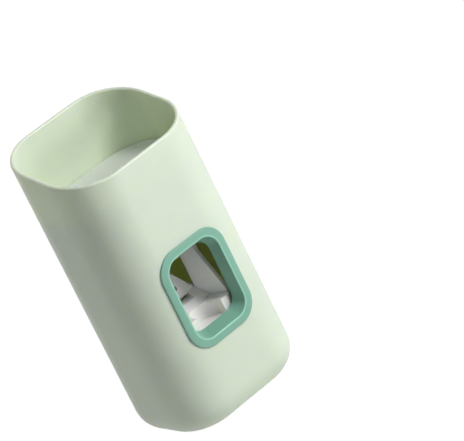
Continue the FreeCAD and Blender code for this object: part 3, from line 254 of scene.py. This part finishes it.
def dark_rubber(name, colour):
    """Soft dark rubber with a pale bloom."""
    material, sheet, where = new_finish(name)
    bloom = graded(sheet, noise(sheet, where, 3 * MM, detail=5.0, rough=0.7), 0.4, 0.8)
    skin = noise(sheet, where, 0.35 * MM, detail=3.0)
    finish_surface(sheet, {
        "Base Color": mixed(sheet, bloom, shade(colour, 1), shade(colour, 1.35)),
        "Roughness": 0.62 + bloom * 0.2,
        "Normal": bumped(sheet, skin, 0.03 * MM, 0.4),
    })
    return material


def drawn_steel(name, colour):
    """Stainless wire and screws: fine drawing marks and small dull patches."""
    material, sheet, where = new_finish(name)
    stretched = sheet.make("ShaderNodeMapping", None, {"Vector": where, "Scale": (1, 8, 8)})
    marks = noise(sheet, stretched, 2 * MM, detail=6.0, rough=0.7)
    dull = graded(sheet, noise(sheet, where, 3 * MM, detail=4.0), 0.45, 0.7)
    finish_surface(sheet, {
        "Base Color": mixed(sheet, dull, shade(colour, 1), shade(colour, 0.86)),
        "Metallic": 1.0,
        "Roughness": 0.22 + marks * 0.14 + dull * 0.1,
        "Normal": bumped(sheet, marks, RELIEF_DEPTH, 0.15),
    })
    return material


def cellular_foam(name, colour):
    """Closed-cell foam tape: small cells, darker where they open."""
    material, sheet, where = new_finish(name)
    cell_size = 0.45 * MM
    cells = sheet.make("ShaderNodeTexVoronoi", None, {"Vector": where, "Scale": 1 / cell_size})
    pores = graded(sheet, cells, 0.05, 0.5)
    finish_surface(sheet, {
        "Base Color": mixed(sheet, pores, shade(colour, 0.82), shade(colour, 1.04)),
        "Roughness": 0.78 + pores * 0.15,
        "Normal": bumped(sheet, pores, 0.08 * MM, 0.5),
    })
    return material


MINT = (0.730, 0.825, 0.675)
TEAL = (0.225, 0.470, 0.360)
WHITE = (0.885, 0.868, 0.84)
GREY = (0.62, 0.66, 0.61)
PALE = (0.80, 0.84, 0.77)
IVORY = (0.86, 0.85, 0.81)
MILKY = (0.78, 0.80, 0.78)
BLACK = (0.05, 0.052, 0.052)
STEEL = (0.62, 0.62, 0.61)
FOAM = (0.72, 0.73, 0.71)
SATIN_GRAIN = 0.35 * MM

finishes = {
    # the casing's rim and the frame's mouth carry a painted highlight, a paler band along the edge
    "casing_mint": moulded_plastic(
        "mint_casing", MINT, 0.44, SATIN_GRAIN, 0.10, cloud=0.015, specular=0.3, glow=0.36,
        edge=rim_highlight_band, highlight_factor=1.16),
    "frame_teal": moulded_plastic(
        "teal_frame", TEAL, 0.36, SATIN_GRAIN, 0.10, specular=0.4, edge=mouth_highlight_band,
        highlight_factor=1.5),
    "plate_grey": moulded_plastic("grey_plate", GREY, 0.5, 0.4 * MM, 0.2),
    "deck_pale": moulded_plastic("pale_deck", PALE, 0.55, SATIN_GRAIN, 0.1, specular=0.3),
    "white_plastic": moulded_plastic(
        "white_moulding", WHITE, 0.38, SATIN_GRAIN, 0.1, cloud=0.015, glow=0.35),
    "acetal": moulded_plastic("natural_acetal", IVORY, 0.33, 0.5 * MM, 0.08),
    "silicone": soft_silicone("milky_silicone", MILKY, 0.42),
    "rubber_dark": dark_rubber("dark_rubber", BLACK),
    "steel": drawn_steel("drawn_steel", STEEL),
    "foam_tape": cellular_foam("foam_tape", FOAM),
}

node_slots = {row["node"]: row["material_slot"] for row in frame["record"]["subparts"]}
for name, thing in frame["nodes"].items():
    thing.data.materials.clear()
    thing.data.materials.append(finishes[node_slots[name]])


# Pieces that take the place of plain solids

MERGE_GAP = 0.0005 * MM
SHARP_ANGLE = math.radians(35)


def show(name, mesh, body, slot_name, node):
    """A finished mesh, smooth but for its real edges, riding on a body in the place of a solid."""
    shell = bmesh.new()
    shell.from_mesh(mesh)
    bmesh.ops.remove_doubles(shell, verts=shell.verts, dist=MERGE_GAP)
    bmesh.ops.recalc_face_normals(shell, faces=shell.faces)
    shell.to_mesh(mesh)
    shell.free()
    mesh.shade_smooth()
    mesh.set_sharp_from_angle(angle=SHARP_ANGLE)
    mesh.materials.clear()
    mesh.materials.append(finishes[slot_name])
    thing = bpy.data.objects.new(name, mesh)
    bpy.context.scene.collection.objects.link(thing)
    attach(thing, body)
    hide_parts(node)
    return thing


def eased(corners, steps=6):
    """A line through corners (across, along, radius), each turned by an arc of its radius."""
    line = []
    for i, (across, along, radius) in enumerate(corners):
        here = Vector((across, along))
        if not radius:
            line.append(here)
            continue
        before = (Vector(corners[i - 1][:2]) - here).normalized()
        after = (Vector(corners[(i + 1) % len(corners)][:2]) - here).normalized()
        half = before.angle(after) / 2
        reach = radius / math.tan(half)
        middle = here + (before + after).normalized() * radius / math.sin(half)
        start = here + before * reach - middle
        sweep = start.angle_signed(here + after * reach - middle)
        for step in range(steps + 1):
            turn = Matrix.Rotation(-sweep * step / steps, 2)
            line.append(middle + turn @ start)
    return line


def lofted(name, rings):
    """Closed skin over rings of points; the end rings are filled or are single points."""
    shell = bmesh.new()
    loops = [[shell.verts.new(point) for point in ring] for ring in rings]
    for first, second in zip(loops, loops[1:]):
        count = max(len(first), len(second))
        for i in range(count):
            pair = [first[i % len(first)], first[(i + 1) % len(first)],
                    second[(i + 1) % len(second)], second[i % len(second)]]
            shell.faces.new(list(dict.fromkeys(pair)))
    for loop in (loops[0], loops[-1]):
        if len(loop) > 2:
            shell.faces.new(loop)
    mesh = bpy.data.meshes.new(name)
    shell.to_mesh(mesh)
    shell.free()
    return mesh


PUMP_AXIS = 101 * MM

# Half section of the dome: distance from the axis, place along it and corner radius, in mm
DOME_SECTION = [
    (0, -8.0, 0), (4.6, -8.0, 1.5), (7.4, -5.62, 1.2),
    (7.4, -3.9, 0.2), (7.0, -3.6, 0.25), (7.0, -3.0, 0.25), (7.4, -2.7, 0.2),
    (7.4, -1.0, 0.3), (10.2, -1.0, 0.3), (10.2, 0.5, 0.2),
    (6.3, 0.5, 0.2), (6.3, -5.07, 0.6), (4.05, -6.9, 0.3), (0, -6.9, 0),
]
DOME_SIDES = 72
ON_AXIS = 0.001


def pump_dome():
    """Silicone dome: flange under the ring, a moulded groove round the side and a soft nose."""
    turns = [FULL_TURN * i / DOME_SIDES for i in range(DOME_SIDES)]
    rings = []
    for across, along in eased(DOME_SECTION):
        if across < ON_AXIS:
            rings.append([(0, along * MM, PUMP_AXIS)])
            continue
        rings.append([
            (across * MM * math.cos(turn), along * MM, PUMP_AXIS + across * MM * math.sin(turn))
            for turn in turns
        ])
    mesh = lofted("pump_dome", rings)
    dome = show("pump_dome", mesh, "pump_module", "silicone", "pump_diaphragm")
    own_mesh(dome)


# Foam pad, in mm: half sizes, corner and level, then inset and place along Y of each ring
PAD_HALF_WIDTH = 15
PAD_HALF_HEIGHT = 19
PAD_CORNER = 4
PAD_LEVEL = 95
PAD_RINGS = [
    (0.35, 31.2), (0.08, 31.3), (0.0, 31.5), (0.12, 31.8), (0.0, 32.1), (0.08, 32.3), (0.35, 32.4),
]


def foam_pad():
    """Die-cut foam tape: soft edges, the middle of each side drawn in a little by the cut."""
    def outline(inset, along):
        wide = PAD_HALF_WIDTH - inset
        high = PAD_HALF_HEIGHT - inset
        turn = PAD_CORNER - inset
        corners = [(wide, high, turn), (-wide, high, turn), (-wide, -high, turn),
                   (wide, -high, turn)]
        return [(across * MM, along * MM, (PAD_LEVEL + level) * MM)
                for across, level in eased(corners, 8)]

    mesh = lofted("foam_pad", [outline(inset, along) for inset, along in PAD_RINGS])
    show("foam_pad", mesh, "wall_mount", "foam_tape", "adhesive_pad")


# Coil and screws, grown by node trees

def new_tree(name, inputs):
    tree = bpy.data.node_groups.new(name, "GeometryNodeTree")
    tree.interface.new_socket("Geometry", in_out="INPUT", socket_type="NodeSocketGeometry")
    for label, kind in inputs.items():
        tree.interface.new_socket(label, in_out="INPUT", socket_type="NodeSocket" + kind)
    tree.interface.new_socket("Geometry", in_out="OUTPUT", socket_type="NodeSocketGeometry")
    source = tree.nodes.new("NodeGroupInput")
    given = {label: Wire(tree, source.outputs[label]) for label in ["Geometry", *inputs]}
    return tree, Wire(tree), given


def close_tree(sheet, shape, finish):
    real = sheet.make("GeometryNodeRealizeInstances", None, {"Geometry": shape})
    coated = sheet.make("GeometryNodeSetMaterial", None, {"Geometry": real, "Material": finish})
    sheet.make("NodeGroupOutput", None, {"Geometry": coated})


def placed(sheet, shape, move, turn=(0, 0, 0)):
    return sheet.make("GeometryNodeTransform", None, {
        "Geometry": shape, "Translation": move, "Rotation": turn})


def upright(sheet, level):
    return sheet.make("ShaderNodeCombineXYZ", None, {"Z": level})


def swept(sheet, path, section):
    return sheet.make("GeometryNodeCurveToMesh", None, {
        "Curve": path, "Profile Curve": section, "Fill Caps": True})


def ring_section(sheet, sides, radius):
    return sheet.make("GeometryNodeCurvePrimitiveCircle", None, {
        "Resolution": sides, "Radius": radius})


COIL_POINTS = 260
WIRE_SIDES = 12


def coil_tree():
    """Wire wound along Y, its end turns closed up as on a ground spring."""
    tree, sheet, given = new_tree("wound_coil", {
        "Coil Radius": "Float", "Wire Radius": "Float", "Turns": "Float", "Length": "Float",
        "Closing": "Float", "Finish": "Material"})
    line = sheet.make("GeometryNodeCurvePrimitiveLine")
    points = sheet.make("GeometryNodeResampleCurve", None, {"Curve": line, "Count": COIL_POINTS})
    share = sheet.make("GeometryNodeSplineParameter", output="Factor")
    turn = share * given["Turns"] * FULL_TURN
    wave = sheet.maths("SINE", share * FULL_TURN)
    bunched = share - wave * given["Closing"] * (1 / FULL_TURN)
    place = sheet.make("ShaderNodeCombineXYZ", None, {
        "X": sheet.maths("COSINE", turn) * given["Coil Radius"],
        "Y": bunched * given["Length"],
        "Z": sheet.maths("SINE", turn) * given["Coil Radius"],
    })
    wound = sheet.make("GeometryNodeSetPosition", None, {"Geometry": points, "Position": place})
    wire = swept(sheet, wound, ring_section(sheet, WIRE_SIDES, given["Wire Radius"]))
    coil = sheet.make("GeometryNodeInstanceOnPoints", None, {
        "Points": given["Geometry"], "Instance": wire})
    close_tree(sheet, coil, given["Finish"])
    return tree


SHANK_SIDES = 20
THREAD_STEPS = 18
RIDGE_SIDES = 4
HEAD_SIDES = 28
CORE_SHARE = 0.84
RIDGE_SHARE = 0.15
POINT_SHARE = 0.4
HEAD_MERGE = 0.002 * MM
RECESS_WIDTH = 0.5 * MM
RECESS_LENGTH = 2.3 * MM
RECESS_HEIGHT = 1.5 * MM


def threaded_shank(sheet, given):
    """Core, blunt point and rolled thread, from the seat of the head upwards."""
    core_radius = given["Shank Radius"] * CORE_SHARE
    tip = given["Shank Radius"]
    straight = given["Length"] - tip
    core = sheet.make("GeometryNodeMeshCylinder", None, {
        "Vertices": SHANK_SIDES, "Radius": core_radius, "Depth": straight})
    core = placed(sheet, core, upright(sheet, straight * 0.5))
    point = sheet.make("GeometryNodeMeshCone", None, {
        "Vertices": SHANK_SIDES, "Radius Top": core_radius * POINT_SHARE,
        "Radius Bottom": core_radius, "Depth": tip})
    point = placed(sheet, point, upright(sheet, straight))
    helix = sheet.make("GeometryNodeCurveSpiral", None, {
        "Resolution": THREAD_STEPS, "Rotations": straight / given["Pitch"],
        "Start Radius": core_radius, "End Radius": core_radius, "Height": straight})
    ridge = ring_section(sheet, RIDGE_SIDES, given["Shank Radius"] * RIDGE_SHARE)
    return [core, point, swept(sheet, helix, ridge)]


def recessed_head(sheet, given):
    """Pan head below its seat, with a bevelled crown and a cross recess."""
    half = given["Head Height"] * 0.5
    crown = given["Head Radius"] - half
    open_ends = {"fill_type": "NONE"}
    filled = {"fill_type": "NGON"}
    over = (math.pi, 0, 0)
    side = sheet.make("GeometryNodeMeshCylinder", open_ends, {
        "Vertices": HEAD_SIDES, "Radius": given["Head Radius"], "Depth": half})
    bevel = sheet.make("GeometryNodeMeshCone", open_ends, {
        "Vertices": HEAD_SIDES, "Radius Top": crown, "Radius Bottom": given["Head Radius"],
        "Depth": half})
    top = sheet.make("GeometryNodeMeshCircle", filled, {"Vertices": HEAD_SIDES, "Radius": crown})
    seat = sheet.make("GeometryNodeMeshCircle", filled, {
        "Vertices": HEAD_SIDES, "Radius": given["Head Radius"]})
    head = sheet.make("GeometryNodeJoinGeometry", None, {"Geometry": [
        placed(sheet, side, upright(sheet, half * -0.5)),
        placed(sheet, bevel, upright(sheet, half * -1.0), over),
        placed(sheet, top, upright(sheet, half * -2.0), over),
        seat,
    ]})
    head = sheet.make("GeometryNodeMergeByDistance", None, {
        "Geometry": head, "Distance": HEAD_MERGE})
    for width, length in ((RECESS_WIDTH, RECESS_LENGTH), (RECESS_LENGTH, RECESS_WIDTH)):
        bit = sheet.make("GeometryNodeMeshCube", None, {"Size": (width, length, RECESS_HEIGHT)})
        bit = placed(sheet, bit, upright(sheet, half * -2.0))
        head = sheet.make(
            "GeometryNodeMeshBoolean", {"operation": "DIFFERENCE", "solver": "EXACT"},
            {"Mesh 1": head, "Mesh 2": bit})
    return head


def screw_tree():
    """Pan-head screw with a cross recess and a rolled thread, one at each point of the mesh."""
    tree, sheet, given = new_tree("pan_head_screws", {
        "Length": "Float", "Shank Radius": "Float", "Head Radius": "Float", "Head Height": "Float",
        "Pitch": "Float", "Turn": "Rotation", "Finish": "Material"})
    solids = [*threaded_shank(sheet, given), recessed_head(sheet, given)]
    screw = sheet.make("GeometryNodeJoinGeometry", None, {"Geometry": solids})
    screws = sheet.make("GeometryNodeInstanceOnPoints", None, {
        "Points": given["Geometry"], "Instance": screw, "Rotation": given["Turn"]})
    close_tree(sheet, screws, given["Finish"])
    return tree


def grown(name, tree, spots, sizes, body, node):
    """Run a tree on points, keep its result as a plain mesh and put it in the place of a solid."""
    seeds = bpy.data.meshes.new(name + "_spots")
    seeds.from_pydata([tuple(value * MM for value in spot) for spot in spots], [], [])
    maker = bpy.data.objects.new(name + "_maker", seeds)
    bpy.context.scene.collection.objects.link(maker)
    modifier = maker.modifiers.new("grow", "NODES")
    modifier.node_group = tree
    for label, value in {**sizes, "Finish": finishes["steel"]}.items():
        modifier[tree.interface.items_tree[label].identifier] = value
    graph = bpy.context.evaluated_depsgraph_get()
    mesh = bpy.data.meshes.new_from_object(maker.evaluated_get(graph))
    mesh.name = name
    maker.modifiers.remove(modifier)
    bpy.data.objects.remove(maker)
    return show(name, mesh, body, "steel", node)


# Places of the coil's front end and of the screws' seats, in mm
COIL_START = [(0, -6.45, 101)]
FLANGE_SPOTS = [(16, 13, 116.5), (-16, 13, 116.5), (7, -15.5, 116.5), (-7, -15.5, 116.5)]
LID_REACH = (9.6, -9.6)
LID_SPOTS = [(aside, 12, 101 + above) for aside in LID_REACH for above in LID_REACH]
LEDGE_SPOTS = [(7.6, -0.2, 44), (-7.6, -0.2, 44)]

COIL_SIZES = {"Coil Radius": 4 * MM, "Wire Radius": 0.4 * MM, "Turns": 7.0, "Length": 14.4 * MM,
              "Closing": 0.55}
PAN_HEAD = {"Shank Radius": 1.1 * MM, "Head Radius": 2 * MM, "Head Height": 1.4 * MM,
            "Pitch": 0.8 * MM}
UPWARDS = (0, 0, 0)
FORWARDS = (math.pi / 2, 0, 0)


def return_coil():
    coil = grown(
        "coil_spring", coil_tree(), COIL_START, COIL_SIZES, "pump_module", "return_spring")
    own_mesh(coil)


def pan_head_screws():
    tree = screw_tree()
    flange = {**PAN_HEAD, "Length": 5.45 * MM, "Turn": UPWARDS}
    lid = {**PAN_HEAD, "Length": 6 * MM, "Turn": FORWARDS}
    ledge = {**PAN_HEAD, "Length": 12.6 * MM, "Turn": UPWARDS}
    grown("flange_screws", tree, FLANGE_SPOTS, flange, "pump_module", "housing_screws")
    grown("lid_screws", tree, LID_SPOTS, lid, "pump_module", "cover_screws")
    grown("ledge_screws", tree, LEDGE_SPOTS, ledge, "lever", "cradle_screws")


pump_dome()
foam_pad()
return_coil()
pan_head_screws()


# Light, floor and camera

WORLD_LEVEL = 0.11
PURE_WHITE = (1, 1, 1, 1)
PAPER_WHITE = (0.9, 0.9, 0.9, 1)
FLOOR_GLOW = 1.13
FLOOR_SHARE = 0.86
FLOOR_REACH = 4
FLOOR_LEVEL = -0.05 * MM


def show_white(sheet):
    """1 for rays that see the surroundings: from the camera, in gloss and through glass."""
    seen = sheet.make("ShaderNodeLightPath", output="Is Camera Ray")
    gloss = sheet.make("ShaderNodeLightPath", output="Is Glossy Ray")
    through = sheet.make("ShaderNodeLightPath", output="Is Transmission Ray")
    return sheet.maths("MINIMUM", seen + gloss + through, 1.0)


def light_world():
    world = bpy.data.worlds.new("studio")
    bpy.context.scene.world = world
    world.use_nodes = True
    world.node_tree.nodes.clear()
    sheet = Wire(world.node_tree)
    sky = sheet.make("ShaderNodeBackground", None, {"Color": PURE_WHITE, "Strength": WORLD_LEVEL})
    white = sheet.make("ShaderNodeBackground", None, {"Color": PURE_WHITE, "Strength": 1.0})
    both = sheet.make("ShaderNodeMixShader", None, {0: show_white(sheet), 1: sky, 2: white})
    sheet.make("ShaderNodeOutputWorld", None, {"Surface": both})


def lay_floor():
    """White floor that keeps the object's shadow."""
    material, sheet = new_material("studio_floor")
    paper = sheet.make("ShaderNodeBsdfDiffuse", None, {"Color": PAPER_WHITE})
    glow = sheet.make("ShaderNodeEmission", None, {"Color": PURE_WHITE, "Strength": FLOOR_GLOW})
    shown = show_white(sheet) * FLOOR_SHARE
    surface = sheet.make("ShaderNodeMixShader", None, {0: shown, 1: paper, 2: glow})
    sheet.make("ShaderNodeOutputMaterial", None, {"Surface": surface})
    mesh = bpy.data.meshes.new("floor")
    signs = ((-1, -1), (1, -1), (1, 1), (-1, 1))
    corners = [(FLOOR_REACH * x, FLOOR_REACH * y, FLOOR_LEVEL) for x, y in signs]
    mesh.from_pydata(corners, [], [(0, 1, 2, 3)])
    mesh.materials.append(material)
    floor = bpy.data.objects.new("floor", mesh)
    bpy.context.scene.collection.objects.link(floor)


def hang_lamp(name, place, target, size, power):
    lamp = bpy.data.lights.new(name, "AREA")
    lamp.shape = "DISK"
    lamp.size = size
    lamp.energy = power
    holder = bpy.data.objects.new(name, lamp)
    holder.location = place
    holder.rotation_euler = (Vector(target) - Vector(place)).to_track_quat("-Z", "Y").to_euler()
    bpy.context.scene.collection.objects.link(holder)


# Camera, as fitted to the rim, the corners, the base and the window frame
SENSOR_WIDTH = 36
FOCAL_PIXELS = 3003
PICTURE_PIXELS = 464
CAMERA_PLACE = Vector((-654.707, -1155.147, 572.994)) * MM
CAMERA_RIGHT = Vector((0.68869339, -0.59765958, -0.41049292))
CAMERA_UP = Vector((0.53735755, 0.04063451, 0.84237503))
CAMERA_BACK = Vector((-0.48677333, -0.80071959, 0.34914161))


def set_camera():
    lens = bpy.data.cameras.new("camera")
    lens.sensor_width = SENSOR_WIDTH
    lens.lens = SENSOR_WIDTH * FOCAL_PIXELS / PICTURE_PIXELS
    holder = bpy.data.objects.new("camera", lens)
    turn = Matrix((CAMERA_RIGHT, CAMERA_UP, CAMERA_BACK)).transposed().to_4x4()
    holder.matrix_world = Matrix.Translation(CAMERA_PLACE) @ turn
    bpy.context.scene.collection.objects.link(holder)
    bpy.context.scene.camera = holder


MIDDLE = (0, 0, 0.08)
FOOT = (0, -0.03, 0.02)
OPEN_TOP = (0, 0.01, 0.13)

light_world()
lay_floor()
hang_lamp("key", (0.50, -0.76, 0.76), MIDDLE, size=0.4, power=7.15)
hang_lamp("low", (0.54, -0.76, 0.03), FOOT, size=0.4, power=3.3)
hang_lamp("top", (0.06, -0.54, 1.28), OPEN_TOP, size=0.32, power=1.1)
hang_lamp("back", (0.05, 0.60, 0.20), MIDDLE, size=0.3, power=1.1)
hang_lamp("edge", (-0.42, 0.30, 0.26), MIDDLE, size=0.25, power=0.3)
set_camera()
bpy.context.scene.view_settings.view_transform = "Standard"
